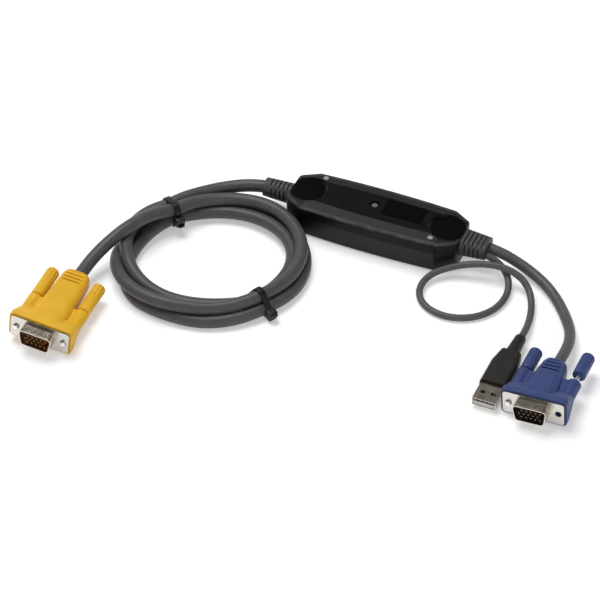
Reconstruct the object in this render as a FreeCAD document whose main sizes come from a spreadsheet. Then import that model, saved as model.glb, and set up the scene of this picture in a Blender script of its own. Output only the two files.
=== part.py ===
import FreeCAD, Part
import math
import os
import re
import Sketcher
from FreeCAD import Placement, Rotation, Vector

# In-line KVM cable lying on a table. Millimetres, Z up, origin under the middle of the module,
# X along the module towards the computer-side leads, Y away from the viewer.

doc = FreeCAD.newDocument("kvm_cable")
sheet = doc.addObject("Spreadsheet::Sheet", "Sizes")

driving_sizes = [
    # module housing
    ("shellLength", 93.0),
    ("shellWidth", 32.0),
    ("shellHeight", 18.5),
    ("shellEndWidth", 18.5),
    ("cornerRun", 9.5),
    ("sideBow", 1.2),
    ("partingHeight", 11.5),
    ("shellWall", 2.0),
    ("roofWall", 2.8),
    ("floorWall", 2.0),
    ("ridgeDrop", 1.3),
    ("ridgeRound", 0.5),
    ("ledgeWidth", 0.9),
    ("shoulderWidth", 7.0),
    ("baseRound", 2.0),
    ("cornerRound", 3.0),
    ("lipWidth", 0.9),
    ("lipHeight", 1.2),
    ("lipGap", 0.1),
    ("scoopRadius", 10.0),
    ("scoopCentre", 38.0),
    ("scoopDepth", 1.1),
    ("scoopSlope", 45.0),
    ("labelLength", 21.5),
    ("labelWidth", 12.6),
    ("labelCentreX", 13.8),
    ("labelCentreY", 1.6),
    ("labelDepth", 0.35),
    # shell screws
    ("shellScrewX", 32.8),
    ("shellScrewY", 10.9),
    ("shellScrewHeadRadius", 1.35),
    ("shellScrewHeadHeight", 0.8),
    ("shellScrewRadius", 0.8),
    ("shellScrewGap", 0.1),
    ("bossRadius", 2.0),
    ("counterboreDepth", 1.0),
    # circuit board and what is on it
    ("boardLength", 76.0),
    ("boardWidth", 20.0),
    ("boardThickness", 1.6),
    ("boardHeight", 5.0),
    ("boardGap", 0.3),
    ("postX", 22.0),
    ("postY", 7.0),
    ("postRadius", 2.0),
    ("chipSize", 12.0),
    ("chipHeight", 1.6),
    ("chipX", -13.0),
    ("crystalLength", 10.5),
    ("crystalWidth", 4.4),
    ("crystalHeight", 3.4),
    ("crystalX", 15.0),
    ("lampSize", 3.0),
    ("lampHeight", 1.2),
    ("lensX", -2.1),
    ("lensY", 1.3),
    ("lensRadius", 1.5),
    ("lensGap", 0.1),
    ("lensCollarRadius", 2.3),
    ("lensCollarHeight", 0.8),
    ("lensWellRadius", 2.7),
    ("lensWellDepth", 0.8),
    ("headerLength", 6.0),
    ("headerWidth", 12.0),
    ("headerHeight", 4.2),
    ("headerX", 30.0),
    ("wireRadius", 0.6),
    ("wirePitch", 1.8),
    # strain reliefs
    ("reliefLength", 15.0),
    ("reliefBaseRadius", 5.5),
    ("reliefTipRadius", 4.9),
    ("reliefNeckRadius", 3.2),
    ("reliefCollarRadius", 4.1),
    ("reliefCollarDepth", 2.5),
    ("reliefGap", 0.1),
    ("tailReliefLength", 13.4),
    ("tailReliefWidth", 14.4),
    ("tailReliefHeight", 9.8),
    ("tailReliefTaper", 0.8),
    ("tailReliefRound", 3.6),
    ("tailNeckWidth", 10.6),
    ("tailNeckHeight", 6.6),
    ("tailCollarWidth", 12.8),
    ("tailCollarHeight", 8.0),
    ("slotWidth", 0.7),
    ("slotPitch", 1.15),
    ("slotStart", 2.0),
    ("slotDepth", 1.0),
    # cords
    ("cableRadius", 3.3),
    ("leadExitZ", 10.3),
    ("videoLeadRadius", 2.85),
    ("videoLeadY", 2.2),
    ("usbLeadRadius", 1.75),
    ("usbLeadY", -3.6),
    ("coilX", -65.8),
    ("coilY", -58.0),
    ("coilRadius", 41.9),
    ("bundleRadius", 6.6),
    # cable ties
    ("tieGap", 0.15),
    ("tieThickness", 1.1),
    ("tieWidth", 3.6),
    ("tieHeadLength", 5.2),
    ("tieHeadWidth", 5.2),
    ("tieHeadHeight", 3.6),
    ("tieTailLength", 4.4),
    ("upperTieAngle", 144.0),
    ("lowerTieAngle", -25.0),
    ("upperTieHead", 195.0),
    ("lowerTieHead", -24.0),
    # plugs with thumbscrews, common sizes
    ("flangeWidth", 30.8),
    ("flangeHeight", 12.5),
    ("flangeThickness", 0.8),
    ("flangeRound", 1.5),
    ("screwSpacing", 24.99),
    ("flangeHoleRadius", 1.65),
    ("skirtWidth", 17.7),
    ("skirtHeight", 9.2),
    ("skirtLength", 5.9),
    ("skirtWall", 0.45),
    ("skirtSlant", 10.0),
    ("skirtRound", 2.1),
    ("dimpleWidth", 1.9),
    ("dimpleLength", 2.4),
    ("dimpleHeight", 0.3),
    ("dimplePitch", 3.5),
    ("insulatorFront", 0.6),
    ("insulatorRear", 6.6),
    ("insulatorGap", 0.05),
    ("pinRadius", 0.45),
    ("pinGap", 0.05),
    ("pinFront", 5.2),
    ("pinRear", 8.0),
    ("pinPitch", 2.29),
    ("pinRowPitch", 1.98),
    ("hoodWidth", 33.0),
    ("hoodHeight", 14.8),
    ("hoodRound", 2.2),
    ("barDepth", 3.0),
    ("slopeDepth", 8.0),
    ("slopeRound", 3.0),
    ("webHeight", 5.4),
    ("webInset", 0.6),
    ("bodyWidth", 18.4),
    ("bodyHeight", 13.8),
    ("bodyRound", 4.0),
    ("tipHeight", 11.4),
    ("domeDepth", 3.0),
    ("domeInset", 1.6),
    ("ribWidth", 1.0),
    ("ribPitch", 2.4),
    ("pocketDepth", 8.6),
    ("earRadius", 3.5),
    ("boreRadius", 1.3),
    ("threadPocketRadius", 1.75),
    ("threadPocketDepth", 7.5),
    ("threadRadius", 1.42),
    ("threadLength", 3.7),
    ("threadReach", 2.0),
    ("shankRadius", 1.1),
    ("shankInKnob", 9.0),
    ("knobBoreGap", 0.05),
    ("knobStopGap", 0.3),
    ("knobRadius", 3.35),
    ("knobRound", 0.9),
    ("fluteRadius", 0.7),
    ("fluteDepth", 0.35),
    ("fluteLength", 9.0),
    # console plug
    ("consoleX", -117.7),
    ("consoleY", -143.4),
    ("consoleYaw", 2.0),
    ("consoleRoll", 6.5),
    ("consoleHoodLength", 45.0),
    ("consoleTipWidth", 14.2),
    ("consoleEarLength", 22.0),
    ("consoleKnobLength", 20.0),
    ("consoleScrewBack", 0.7),
    # video plug
    ("videoX", 119.2),
    ("videoY", -95.3),
    ("videoYaw", 0.0),
    ("videoRoll", -4.0),
    ("videoHoodLength", 32.4),
    ("videoTipWidth", 12.4),
    ("videoEarLength", 22.5),
    ("videoKnobLength", 14.8),
    ("videoLeftScrewBack", 0.7),
    ("videoRightScrewBack", 5.4),
    # plug of the thin lead
    ("usbX", 95.2),
    ("usbY", -85.6),
    ("usbWidth", 13.6),
    ("usbHeight", 8.0),
    ("usbGripLength", 16.0),
    ("usbShoulderLength", 9.0),
    ("usbShoulderWidth", 10.6),
    ("usbShoulderHeight", 7.4),
    ("usbNeckLength", 13.0),
    ("usbNeckWidth", 7.6),
    ("usbNeckTip", 5.6),
    ("usbRound", 2.2),
    ("usbShellWidth", 12.0),
    ("usbShellHeight", 4.5),
    ("usbShellWall", 0.3),
    ("usbShellReach", 12.0),
    ("usbShellSeat", 6.0),
    ("usbSeatGap", 0.05),
    ("usbWindowWidth", 2.4),
    ("usbWindowLength", 2.0),
    ("usbWindowX", 2.7),
    ("usbWindowZ", 6.4),
    ("usbTongueHeight", 1.9),
    ("usbTongueReach", 11.5),
    ("usbContactWidth", 1.0),
    ("usbContactHeight", 0.2),
    ("usbContactLength", 8.0),
    ("usbContactPitch", 2.25),
    ("usbContactInset", 0.5),
]

names = set()
for row, (name, number) in enumerate(driving_sizes, start=1):
    sheet.set("A%d" % row, name)
    sheet.set("B%d" % row, "%g" % number)
    sheet.setAlias("B%d" % row, name)
    names.add(name)
doc.recompute()


def size(name):
    return float(sheet.get(name))


def cells(text):
    # every size's name in a formula becomes its spreadsheet cell
    return re.sub(r"[A-Za-z]+", lambda word: "Sizes." + word[0] if word[0] in names else word[0], text)


def bind(item, **formulas):
    for prop, text in formulas.items():
        item.setExpression(prop.replace("_", "."), cells(text))
    return item


def new_body(label):
    body = doc.addObject("PartDesign::Body", label)
    body.Label = label
    return body


def origin_feature(body, role):
    return [feature for feature in body.Origin.OriginFeatures if feature.Role == role][0]


def new_sketch(body, level="0", plane="XY_Plane"):
    sketch = body.newObject("Sketcher::SketchObject", body.Label + "_sketch")
    sketch.AttachmentSupport = [(origin_feature(body, plane), "")]
    sketch.MapMode = "FlatFace"
    sketch.setExpression("AttachmentOffset.Base.z", cells(level))
    return sketch


def pin_point(sketch, element, point, across, along):
    # holds a point of the sketch at two formulas measured from the sketch's origin
    place = sketch.getPoint(element, point)
    for kind, text, now in (("DistanceX", across, place.x), ("DistanceY", along, place.y)):
        index = sketch.addConstraint(Sketcher.Constraint(kind, -1, 1, element, point, now))
        label = "place%d" % index
        sketch.renameConstraint(index, label)
        sketch.setExpression("Constraints." + label, cells(text))


def polygon(sketch, corners):
    # closed outline of straight sides, each corner a pair of formulas
    count = len(corners)
    first = sketch.GeometryCount
    turn = 2 * math.pi / count
    start = [Vector(10 * math.cos(turn * i), 10 * math.sin(turn * i), 0) for i in range(count)]
    sketch.addGeometry([Part.LineSegment(start[i], start[(i + 1) % count]) for i in range(count)], False)
    sketch.addConstraint([Sketcher.Constraint("Coincident", first + i, 2, first + (i + 1) % count, 1)
                          for i in range(count)])
    for i, (across, along) in enumerate(corners):
        pin_point(sketch, first + i, 1, across, along)


def rectangle(sketch, width, height, across="0", along="0"):
    left, right = f"({across}) - ({width}) / 2", f"({across}) + ({width}) / 2"
    low, high = f"({along}) - ({height}) / 2", f"({along}) + ({height}) / 2"
    polygon(sketch, [(left, low), (right, low), (right, high), (left, high)])


def rounded_outline(sketch, ends, rise):
    # low, right, top and left side, each with its two ends, joined by arcs with centres at plus or
    # minus rise; drawn at a nominal size that the formulas then replace
    first = sketch.GeometryCount
    spots = [((-8, -6), (8, -6)), ((10, -4), (10, 4)), ((8, 6), (-8, 6)), ((-10, 4), (-10, -4))]
    centres = [(8, -4), (8, 4), (-8, 4), (-8, -4)]
    for number in range(4):
        start, end = spots[number]
        sketch.addGeometry(Part.LineSegment(Vector(*start), Vector(*end)), False)
        corner = Part.Circle(Vector(*centres[number]), Vector(0, 0, 1), 2.0)
        turned = (number - 1) * math.pi / 2
        sketch.addGeometry(Part.ArcOfCircle(corner, turned, turned + math.pi / 2), False)
    sketch.addConstraint([Sketcher.Constraint("Coincident", first + i, 2, first + (i + 1) % 8, 1)
                          for i in range(8)])
    for number, (start, end) in enumerate(ends):
        pin_point(sketch, first + 2 * number, 1, *start)
        pin_point(sketch, first + 2 * number, 2, *end)
        centre = sketch.addConstraint(Sketcher.Constraint("DistanceY", -1, 1, first + 2 * number + 1, 3,
                                                          centres[number][1]))
        sketch.renameConstraint(centre, "centre%d" % centre)
        level = rise if centres[number][1] > 0 else f"-{rise}"
        sketch.setExpression("Constraints.centre%d" % centre, cells(level))


def rounded_rectangle(sketch, width, height, radius):
    far, near = f"(({width}) / 2)", f"(({width}) / 2 - ({radius}))"
    high, low = f"(({height}) / 2)", f"(({height}) / 2 - ({radius}))"
    rounded_outline(sketch, [((f"-{near}", f"-{high}"), (near, f"-{high}")), ((far, f"-{low}"), (far, low)),
                             ((near, high), (f"-{near}", high)), ((f"-{far}", low), (f"-{far}", f"-{low}"))],
                    low)


def hold_radius(sketch, element, radius):
    now = sketch.Geometry[element].Radius
    index = sketch.addConstraint(Sketcher.Constraint("Radius", element, now))
    label = "round%d" % index
    sketch.renameConstraint(index, label)
    sketch.setExpression("Constraints." + label, cells(radius))


def circle(sketch, radius, across="0", along="0"):
    element = sketch.addGeometry(Part.Circle(Vector(0, 0, 0), Vector(0, 0, 1), 1.0), False)
    hold_radius(sketch, element, radius)
    pin_point(sketch, element, 3, across, along)


def pad(body, sketch, length):
    feature = body.newObject("PartDesign::Pad", body.Label + "_pad")
    feature.Profile = sketch
    bind(feature, Length=length)
    doc.recompute()
    return feature


def pocket(body, sketch, length, towards_normal=False, slope=None):
    before = body.Shape.Volume
    feature = body.newObject("PartDesign::Pocket", body.Label + "_pocket")
    feature.Profile = sketch
    feature.Reversed = towards_normal
    bind(feature, Length=length)
    if slope:
        bind(feature, TaperAngle=slope)
    doc.recompute()
    if body.Shape.Volume > before - 1e-6:
        raise ValueError("a pocket of %s cuts nothing" % body.Label)
    return feature


def cut_both_ways(body, sketch, length):
    feature = pocket(body, sketch, length)
    feature.Midplane = True
    doc.recompute()
    return feature


def revolve(body, sketch):
    feature = body.newObject("PartDesign::Revolution", body.Label + "_turned")
    feature.Profile = sketch
    feature.ReferenceAxis = (sketch, ["V_Axis"])
    feature.Angle = 360
    doc.recompute()
    return feature


def loft(body, first, *others):
    feature = body.newObject("PartDesign::AdditiveLoft", body.Label + "_loft")
    feature.Profile = first
    feature.Sections = list(others)
    feature.Ruled = True
    doc.recompute()
    return feature


def round_edges(body, choose, radius):
    base = body.Tip
    edges = ["Edge%d" % i for i, edge in enumerate(base.Shape.Edges, start=1) if choose(edge)]
    if not edges:
        raise ValueError("no edge to round on %s" % body.Label)
    feature = body.newObject("PartDesign::Fillet", body.Label + "_round")
    feature.Base = (base, edges)
    bind(feature, Radius=radius)
    doc.recompute()
    return feature


def repeat_along(body, feature, pitch, count):
    pattern = body.newObject("PartDesign::LinearPattern", body.Label + "_row")
    pattern.Originals = [feature]
    pattern.Direction = (origin_feature(body, "Z_Axis"), [""])
    pattern.Occurrences = count
    bind(pattern, Length=f"({pitch}) * {count - 1}")
    body.Tip = pattern
    doc.recompute()
    return pattern


def repeat_round(body, feature, count):
    pattern = body.newObject("PartDesign::PolarPattern", body.Label + "_ring")
    pattern.Originals = [feature]
    pattern.Axis = (origin_feature(body, "Z_Axis"), [""])
    pattern.Angle = 360
    pattern.Occurrences = count
    body.Tip = pattern
    doc.recompute()
    return pattern


def runs_along_z(edge):
    box = edge.BoundBox
    return box.ZLength > 1e-3 and box.XLength < 1e-4 and box.YLength < 1e-4


def at_level(edge, level):
    box = edge.BoundBox
    return abs(box.ZMin - level) < 1e-4 and abs(box.ZMax - level) < 1e-4


# Housing

side_corner = "(shellWidth / 2 - sideBow)"
cut_angle = f"atan(({side_corner} - shellEndWidth / 2) / cornerRun)"


def housing_outline(sketch, inset):
    # long octagon with bowed long sides, drawn parallel to the housing's wall
    end_x = f"(shellLength / 2 - ({inset}))"
    end_y = f"(shellEndWidth / 2 - ({inset}) * tan((90 deg - {cut_angle}) / 2))"
    corner_x = f"(shellLength / 2 - cornerRun - ({inset}) * tan({cut_angle} / 2))"
    corner_y = f"({side_corner} - ({inset}))"
    bow_radius = f"({corner_x}^2 + sideBow^2) / (2 * sideBow)"
    half_x, half_y, bow = size("shellLength") / 2, size("shellWidth") / 2, size("sideBow")
    run = size("cornerRun")
    first = sketch.GeometryCount
    start = [Vector(half_x - run, half_y - bow), Vector(run - half_x, half_y - bow),
             Vector(-half_x, run / 2), Vector(-half_x, -run / 2),
             Vector(run - half_x, bow - half_y), Vector(half_x - run, bow - half_y),
             Vector(half_x, -run / 2), Vector(half_x, run / 2)]
    sides = [Part.Arc(start[0], Vector(0, half_y), start[1]),
             Part.LineSegment(start[1], start[2]), Part.LineSegment(start[2], start[3]),
             Part.LineSegment(start[3], start[4]),
             Part.Arc(start[4], Vector(0, -half_y), start[5]),
             Part.LineSegment(start[5], start[6]), Part.LineSegment(start[6], start[7]),
             Part.LineSegment(start[7], start[0])]
    sketch.addGeometry(sides, False)
    sketch.addConstraint([Sketcher.Constraint("Coincident", first + i, 2, first + (i + 1) % 8, 1)
                          for i in range(8)])
    corners = [None, (f"-{corner_x}", corner_y), (f"-{end_x}", end_y), (f"-{end_x}", f"-{end_y}"),
               None, (corner_x, f"-{corner_y}"), (end_x, f"-{end_y}"), (end_x, end_y)]
    for i, corner in enumerate(corners):
        if corner:
            pin_point(sketch, first + i, 1, *corner)
    pin_point(sketch, first + 7, 2, corner_x, corner_y)
    pin_point(sketch, first + 3, 2, f"-{corner_x}", f"-{corner_y}")
    for element in (first, first + 4):
        hold_radius(sketch, element, bow_radius)


screw_places = [("shellScrewX", "-shellScrewY"), ("-shellScrewX", "shellScrewY")]


def cut_relief_openings(body):
    # round opening at one end and a wide one at the other, both centred on the parting line
    left = new_sketch(body, "-shellLength / 2", "YZ_Plane")
    circle(left, "reliefNeckRadius + reliefGap", "0", "partingHeight")
    pocket(body, left, "shellWall + lipWidth", towards_normal=True)
    right = new_sketch(body, "shellLength / 2", "YZ_Plane")
    rectangle(right, "tailNeckWidth + 2 * reliefGap", "tailNeckHeight + 2 * reliefGap", "0", "partingHeight")
    pocket(body, right, "shellWall + lipWidth")


def make_lower_shell():
    body = new_body("lower_shell")
    outline = new_sketch(body)
    housing_outline(outline, "0")
    pad(body, outline, "partingHeight")
    round_edges(body, runs_along_z, "cornerRound")
    round_edges(body, lambda edge: at_level(edge, 0), "baseRound")
    cavity = new_sketch(body, "floorWall")
    housing_outline(cavity, "shellWall")
    pocket(body, cavity, "partingHeight - floorWall", towards_normal=True)
    lip = new_sketch(body, "partingHeight")
    housing_outline(lip, "shellWall - lipWidth")
    housing_outline(lip, "shellWall")
    pad(body, lip, "lipHeight")
    posts = new_sketch(body, "floorWall")
    for across in ("postX", "-postX"):
        for along in ("postY", "-postY"):
            circle(posts, "postRadius", across, along)
    pad(body, posts, "boardHeight - floorWall")
    bosses = new_sketch(body, "floorWall")
    for across, along in screw_places:
        circle(bosses, "bossRadius", across, along)
    pad(body, bosses, "partingHeight - floorWall")
    pilots = new_sketch(body, "partingHeight")
    for across, along in screw_places:
        circle(pilots, "shellScrewRadius", across, along)
    pocket(body, pilots, "partingHeight - floorWall")
    cut_relief_openings(body)
    return body


def make_upper_shell():
    body = new_body("upper_shell")
    outline = new_sketch(body, "partingHeight")
    housing_outline(outline, "0")
    pad(body, outline, "shellHeight - ridgeDrop - partingHeight")
    round_edges(body, runs_along_z, "cornerRound")
    round_edges(body, lambda edge: at_level(edge, size("shellHeight") - size("ridgeDrop")), "ridgeRound")
    # sloping shoulders from the ridge up to the flat middle of the roof
    ledge = new_sketch(body, "shellHeight - ridgeDrop")
    housing_outline(ledge, "ledgeWidth")
    middle = new_sketch(body, "shellHeight")
    housing_outline(middle, "shoulderWidth")
    loft(body, ledge, middle)
    cavity = new_sketch(body, "partingHeight")
    housing_outline(cavity, "shellWall")
    pocket(body, cavity, "shellHeight - partingHeight - roofWall", towards_normal=True)
    rebate = new_sketch(body, "partingHeight")
    housing_outline(rebate, "shellWall - lipWidth - lipGap")
    pocket(body, rebate, "lipHeight + lipGap", towards_normal=True)
    bosses = new_sketch(body, "partingHeight")
    for across, along in screw_places:
        circle(bosses, "bossRadius - lipGap", across, along)
    pad(body, bosses, "shellHeight - partingHeight - roofWall / 2")
    for side in ("", "-"):
        scoop = new_sketch(body, "shellHeight")
        circle(scoop, "scoopRadius", side + "scoopCentre", "0")
        pocket(body, scoop, "scoopDepth", slope="-scoopSlope")
    label = new_sketch(body, "shellHeight")
    rectangle(label, "labelLength", "labelWidth", "labelCentreX", "labelCentreY")
    pocket(body, label, "labelDepth")
    well = new_sketch(body, "shellHeight")
    circle(well, "lensWellRadius", "lensX", "lensY")
    pocket(body, well, "lensWellDepth")
    opening = new_sketch(body, "shellHeight")
    circle(opening, "lensRadius + lensGap", "lensX", "lensY")
    pocket(body, opening, "roofWall + lipHeight")
    heads = new_sketch(body, "shellHeight")
    for across, along in screw_places:
        circle(heads, "shellScrewHeadRadius + shellScrewGap", across, along)
    pocket(body, heads, "counterboreDepth")
    shanks = new_sketch(body, "shellHeight")
    for across, along in screw_places:
        circle(shanks, "shellScrewRadius + shellScrewGap", across, along)
    pocket(body, shanks, "shellHeight - partingHeight")
    cut_relief_openings(body)
    return body


def make_shell_screws():
    # two flat-headed screws that draw the shells together
    screws = []
    for number, (across, along) in enumerate(screw_places):
        head = doc.addObject("Part::Cylinder", "screw_head%d" % number)
        bind(head, Radius="shellScrewHeadRadius", Height="shellScrewHeadHeight", Placement_Base_x=across,
             Placement_Base_y=along, Placement_Base_z="shellHeight - counterboreDepth")
        shank = doc.addObject("Part::Cylinder", "screw_shank%d" % number)
        bind(shank, Radius="shellScrewRadius", Height="shellHeight - counterboreDepth - floorWall",
             Placement_Base_x=across, Placement_Base_y=along, Placement_Base_z="floorWall")
        screw = doc.addObject("Part::Fuse", "screw%d" % number)
        screw.Base = head
        screw.Tool = shank
        screws.append(screw)
    return make_group("shell_screws", screws)


def make_group(label, members):
    group = doc.addObject("Part::Compound", label)
    group.Label = label
    group.Links = members
    return group


# What the housing holds

board_top = "(boardHeight + boardThickness)"


def make_board():
    body = new_body("circuit_board")
    outline = new_sketch(body, "boardHeight")
    rectangle(outline, "boardLength", "boardWidth")
    pad(body, outline, "boardThickness")
    notches = new_sketch(body, "boardHeight")
    for across, along in screw_places:
        circle(notches, "bossRadius + boardGap", across, along)
    pocket(body, notches, "boardThickness", towards_normal=True)
    return body


def make_block(label, length, width, height, x, y, z):
    block = doc.addObject("Part::Box", label)
    block.Label = label
    bind(block, Length=length, Width=width, Height=height, Placement_Base_x=f"({x}) - ({length}) / 2",
         Placement_Base_y=f"({y}) - ({width}) / 2", Placement_Base_z=z)
    return block


def make_lens():
    # clear light guide with a collar under the roof
    body = new_body("indicator_lens")
    roof = "(shellHeight - roofWall)"
    profile = new_sketch(body, "0", "XZ_Plane")
    foot = f"({board_top} + lampHeight)"
    polygon(profile, [("0", foot), ("lensRadius", foot), ("lensRadius", f"{roof} - lensCollarHeight"),
                      ("lensCollarRadius", f"{roof} - lensCollarHeight"), ("lensCollarRadius", roof),
                      ("lensRadius", roof), ("lensRadius", "shellHeight - lensWellDepth / 2"),
                      ("0", "shellHeight - lensWellDepth / 2")])
    revolve(body, profile)
    body.Placement = Placement(Vector(size("lensX"), size("lensY"), 0), Rotation())
    return body


# Strain reliefs, drawn with Z pointing out of the housing


def cut_slots(body, depth_from, plane, start, count, reach):
    # a row of slots across two opposite sides of a strain relief
    sketch = new_sketch(body, "0", plane)
    for side in ("", "-"):
        rectangle(sketch, "2 * slotDepth", "slotWidth", f"{side}({depth_from})", start)
    first = cut_both_ways(body, sketch, reach)
    repeat_along(body, first, "2 * slotPitch", count)


def make_main_relief():
    body = new_body("main_strain_relief")
    profile = new_sketch(body, "0", "XZ_Plane")
    inner = "(-shellWall - reliefGap)"
    inmost = f"({inner} - reliefCollarDepth)"
    polygon(profile, [("0", inmost), ("reliefCollarRadius", inmost), ("reliefCollarRadius", inner),
                      ("reliefNeckRadius", inner), ("reliefNeckRadius", "reliefGap"),
                      ("reliefBaseRadius", "reliefGap"), ("reliefTipRadius", "reliefLength"),
                      ("0", "reliefLength")])
    revolve(body, profile)
    cut_slots(body, "reliefTipRadius", "XZ_Plane", "slotStart", 5, "4 * reliefBaseRadius")
    cut_slots(body, "reliefTipRadius", "YZ_Plane", "slotStart + slotPitch", 4, "4 * reliefBaseRadius")
    body.Placement = Placement(Vector(-size("shellLength") / 2, 0, size("partingHeight")),
                               Rotation(Vector(0, 1, 0), -90))
    return body


def make_tail_relief():
    body = new_body("tail_strain_relief")
    base = new_sketch(body, "reliefGap")
    rounded_rectangle(base, "tailReliefHeight", "tailReliefWidth", "tailReliefRound")
    tip = new_sketch(body, "tailReliefLength")
    rounded_rectangle(tip, "tailReliefHeight - 2 * tailReliefTaper", "tailReliefWidth - 2 * tailReliefTaper",
                      "tailReliefRound - tailReliefTaper / 2")
    loft(body, base, tip)
    neck = new_sketch(body, "-shellWall - reliefGap")
    rectangle(neck, "tailNeckHeight", "tailNeckWidth")
    pad(body, neck, "shellWall + 3 * reliefGap")
    collar = new_sketch(body, "-shellWall - reliefGap - reliefCollarDepth")
    rectangle(collar, "tailCollarHeight", "tailCollarWidth")
    pad(body, collar, "reliefCollarDepth")
    cut_slots(body, "tailReliefHeight / 2 - tailReliefTaper / 2", "XZ_Plane", "slotStart", 5,
              "2 * tailReliefWidth")
    cut_slots(body, "tailReliefWidth / 2 - tailReliefTaper / 2", "YZ_Plane", "slotStart + slotPitch", 4,
              "2 * tailReliefWidth")
    body.Placement = Placement(Vector(size("shellLength") / 2, 0, size("partingHeight")),
                               Rotation(Vector(0, 1, 0), 90))
    return body


# Cords: straight runs joined by tangent arcs


def rounded_path(label, points):
    edges = []
    start = points[0]
    radii = []
    for before, corner, after in zip(points, points[1:], points[2:]):
        arriving, leaving = corner - before, after - corner
        turn = arriving.getAngle(leaving)
        trim = 0.45 * min(arriving.Length, leaving.Length)
        arriving.normalize()
        leaving.normalize()
        first, last = corner - arriving * trim, corner + leaving * trim
        radius = trim / math.tan(turn / 2)
        radii.append(radius)
        to_middle = (leaving - arriving).normalize()
        middle = corner + to_middle * (radius / math.cos(turn / 2) - radius)
        edges.append(Part.LineSegment(start, first).toShape())
        edges.append(Part.Arc(first, middle, last).toShape())
        start = last
    edges.append(Part.LineSegment(start, points[-1]).toShape())
    print("%s bend radii, mm: %s" % (label, " ".join("%.0f" % radius for radius in radii)))
    return Part.Wire(edges)


def tube_along(label, places, radius):
    points = [Vector(*place) for place in places]
    path = rounded_path(label, points)
    ring = Part.Wire(Part.Circle(points[0], points[1] - points[0], radius).toShape())
    tube = path.makePipeShell([ring], True, False)
    expected = math.pi * radius ** 2 * path.Length
    if abs(tube.Volume - expected) > 0.01 * expected:
        raise ValueError("%s has volume %.0f, not %.0f" % (label, tube.Volume, expected))
    return tube, path.Length


def make_cord(label, places, radius):
    shape, length = tube_along(label, places, radius)
    print("%s length, mm: %.0f" % (label, length))
    cord = doc.addObject("Part::Feature", label)
    cord.Label = label
    cord.Shape = shape
    return cord


def make_wires(label, side, spread):
    # conductors from the strain relief's inner face to the header on the board
    half = size("shellLength") / 2
    face = half - size("shellWall") - size("reliefGap") - size("reliefCollarDepth")
    top = size("boardHeight") + size("boardThickness") + size("headerHeight")
    header = size("headerX")
    middle = (face + header) / 2
    level = size("partingHeight")
    wires = []
    for number in (-1.5, -0.5, 0.5, 1.5):
        y = number * size("wirePitch")
        places = [(side * face, y * spread, level), (side * (middle + face) / 2, y * spread, level + 0.6),
                  (side * (middle + header) / 2, y, level + 1.0),
                  (side * (header + 0.5), y, (level + top) / 2 + 0.4), (side * header, y, top)]
        wire = doc.addObject("Part::Feature", label + "_strand")
        wire.Shape = tube_along(label, places, size("wireRadius"))[0]
        wires.append(wire)
    return make_group(label, wires)


relief_end = size("shellLength") / 2 + size("reliefLength")
tail_end = size("shellLength") / 2 + size("tailReliefLength")
cord_level = size("partingHeight")
coil_level = size("bundleRadius") + size("tieGap") + size("tieThickness")


def plug_axis(yaw):
    # from the plug's mating face towards its cord
    angle = math.radians(yaw)
    return Vector(-math.sin(angle), math.cos(angle), 0)


def plug_height(roll):
    # height of a tilted plug's axis when the rounded front bar of its hood touches the table
    angle = math.radians(abs(roll))
    edge = size("hoodRound")
    return ((size("hoodWidth") / 2 - edge) * math.sin(angle)
            + (size("hoodHeight") / 2 - edge) * math.cos(angle) + edge)


def hood_end(plug):
    rear = plug_axis(size(plug + "Yaw")) * size(plug + "HoodLength")
    return Vector(size(plug + "X"), size(plug + "Y"), plug_height(size(plug + "Roll"))) + rear


module_route = [(-relief_end, 0.0, cord_level), (-68.8, -1.3, 11.2), (-75.9, -4.1, 10.8),
                (-82.2, -8.2, 10.4), (-87.8, -13.4, 9.9), (-92.8, -19.1, 9.4), (-97.5, -25.1, 8.9),
                (-99.6, -28.0, 8.7)]
plug_route = [(-100.9, -37.6, 11.2), (-103.6, -45.2, 13.5), (-106.6, -53.2, 14.9), (-109.8, -61.0, 15.1),
              (-113.0, -68.6, 14.0), (-116.0, -76.0, 12.2), (-118.3, -83.6, 10.4), (-119.2, -91.2, 9.3),
              tuple(hood_end("console"))]
video_route = [(tail_end, size("videoLeadY"), size("leadExitZ")), (66.0, 2.1, 9.5), (72.6, 1.6, 7.8),
               (79.4, 0.4, 6.0), (86.2, -2.0, 4.6), (93.2, -5.8, 3.7), (99.8, -11.2, 3.1),
               (106.3, -18.6, 3.0), (111.8, -26.4, 3.4), (116.2, -34.6, 4.6), (118.6, -43.4, 6.2),
               (119.5, -53.3, 7.7), tuple(hood_end("video"))]
usb_rear = size("usbY") + size("usbGripLength") + size("usbShoulderLength") + size("usbNeckLength")
usb_route = [(tail_end, size("usbLeadY"), size("leadExitZ")), (64.8, -4.1, 10.0), (69.6, -5.9, 9.2),
             (73.5, -9.0, 7.9), (76.2, -13.4, 6.1), (77.5, -18.8, 4.0), (77.2, -25.4, 2.4),
             (74.8, -32.0, 1.8), (70.2, -38.2, 1.75), (63.4, -42.8, 1.8), (55.8, -44.8, 1.75),
             (48.2, -43.6, 1.8), (41.6, -39.9, 1.75), (37.3, -34.0, 1.8), (36.0, -27.0, 2.3),
             (38.2, -20.4, 3.4), (43.4, -15.0, 4.6), (50.0, -9.4, 5.2), (57.2, -4.9, 4.5),
             (64.8, -1.7, 3.6), (72.8, -1.8, 2.8),
             (79.8, -4.8, 2.2), (85.2, -9.8, 1.9), (89.4, -16.8, 1.75), (92.4, -25.0, 1.9),
             (94.4, -33.4, 2.6), (95.2, -41.0, 3.6), (size("usbX"), usb_rear, size("usbHeight") / 2)]


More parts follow.
